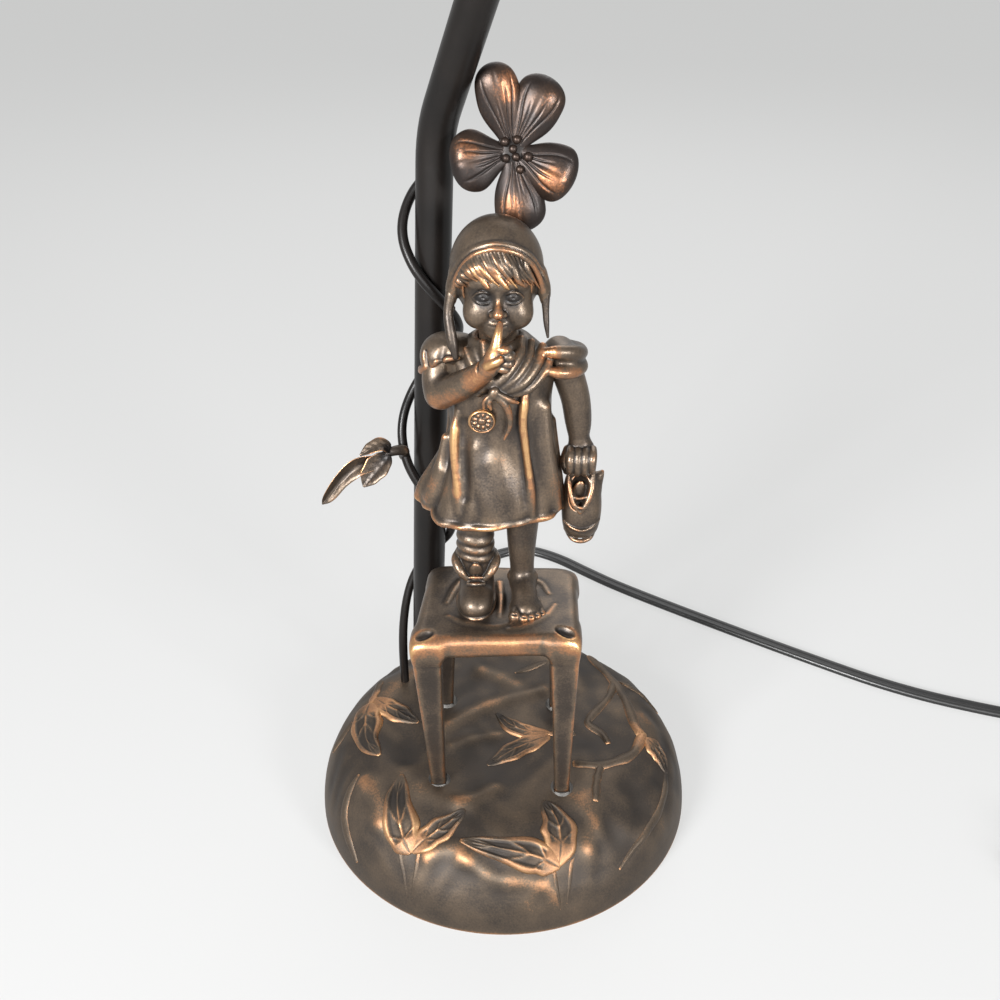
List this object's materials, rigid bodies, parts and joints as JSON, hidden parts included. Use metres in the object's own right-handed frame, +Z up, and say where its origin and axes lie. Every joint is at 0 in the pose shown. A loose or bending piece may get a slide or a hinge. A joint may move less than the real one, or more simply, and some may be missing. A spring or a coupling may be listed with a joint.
{
  "type": "table lamp",
  "caption": "Figural table lamp: a cast child on a stool before a bent pole with a winding vine and flower, on a round mound base, with lampholder, bulb and harp.",
  "frame": {"origin": "centre of the round base on the table", "axes": "+Z up; -Y is the front that the figure faces; +X to the viewer's right"},
  "size_m": [0.3979, 0.2542, 0.5578],
  "materials": {
    "bronze_patina": "dark brown patina, copper-worn edges, satin",
    "black_enamel": "satin black-brown enamel",
    "steel": "zinc plated",
    "antique_brass": "antique brass, satin",
    "bright_brass": "bright",
    "nickel": "nickel plated",
    "frosted_glass": "frosted white",
    "felt": "dark felt",
    "solder": "dull solder",
    "black_phenolic": "moulded black",
    "black_vinyl": "black vinyl",
    "fibre_paper": "vulcanised fibre",
    "copper_wire": "bare copper"
  },
  "bodies": {
    "lamp": {"base_shell": "bronze_patina", "stool": "bronze_patina", "child_figure": "bronze_patina", "held_shoe": "bronze_patina", "leaf_spray_left": "bronze_patina", "leaf_rear": "bronze_patina", "flower": "bronze_patina", "pole": "black_enamel", "vine_stem": "black_enamel", "ballast_plate": "steel", "ballast_screws": "steel", "pole_nipple": "steel", "pole_washer": "steel", "pole_nut": "steel", "figure_screws": "steel", "riser_nipple": "steel", "check_ring": "antique_brass", "harp_saddle": "antique_brass", "harp": "antique_brass", "finial": "antique_brass", "socket_cap": "antique_brass", "socket_shell": "antique_brass", "socket_liner": "fibre_paper", "socket_interior": "black_phenolic", "screw_shell": "bright_brass", "centre_contact": "bright_brass", "terminal_screws": "bright_brass", "bulb_cap": "nickel", "bulb_glass": "frosted_glass", "felt_pad": "felt", "stool_solder": "solder", "cord_bushing": "black_phenolic", "inner_cord": "black_vinyl", "lead_wires": "copper_wire", "supply_cord": "black_vinyl", "cord_coil": "black_vinyl", "plug_body": "black_vinyl", "plug_blades": "bright_brass"},
    "switch": {"switch_shaft": "bright_brass", "switch_knob": "black_phenolic"},
    "sleeve_left": {"harp_sleeve_left": "antique_brass"},
    "sleeve_right": {"harp_sleeve_right": "antique_brass"}
  },
  "joints": [
    {"name": "switch_turn", "type": "hinge", "parent": "lamp", "child": "switch", "pos_m": [0, -0.03, 0.3775], "axis": [0, -1, 0], "continuous": true},
    {"name": "sleeve_left_slide", "type": "slide", "parent": "lamp", "child": "sleeve_left", "axis": [0, 0, 1], "range_m": [0, 0.012]},
    {"name": "sleeve_right_slide", "type": "slide", "parent": "lamp", "child": "sleeve_right", "axis": [0, 0, 1], "range_m": [0, 0.012]}
  ]
}
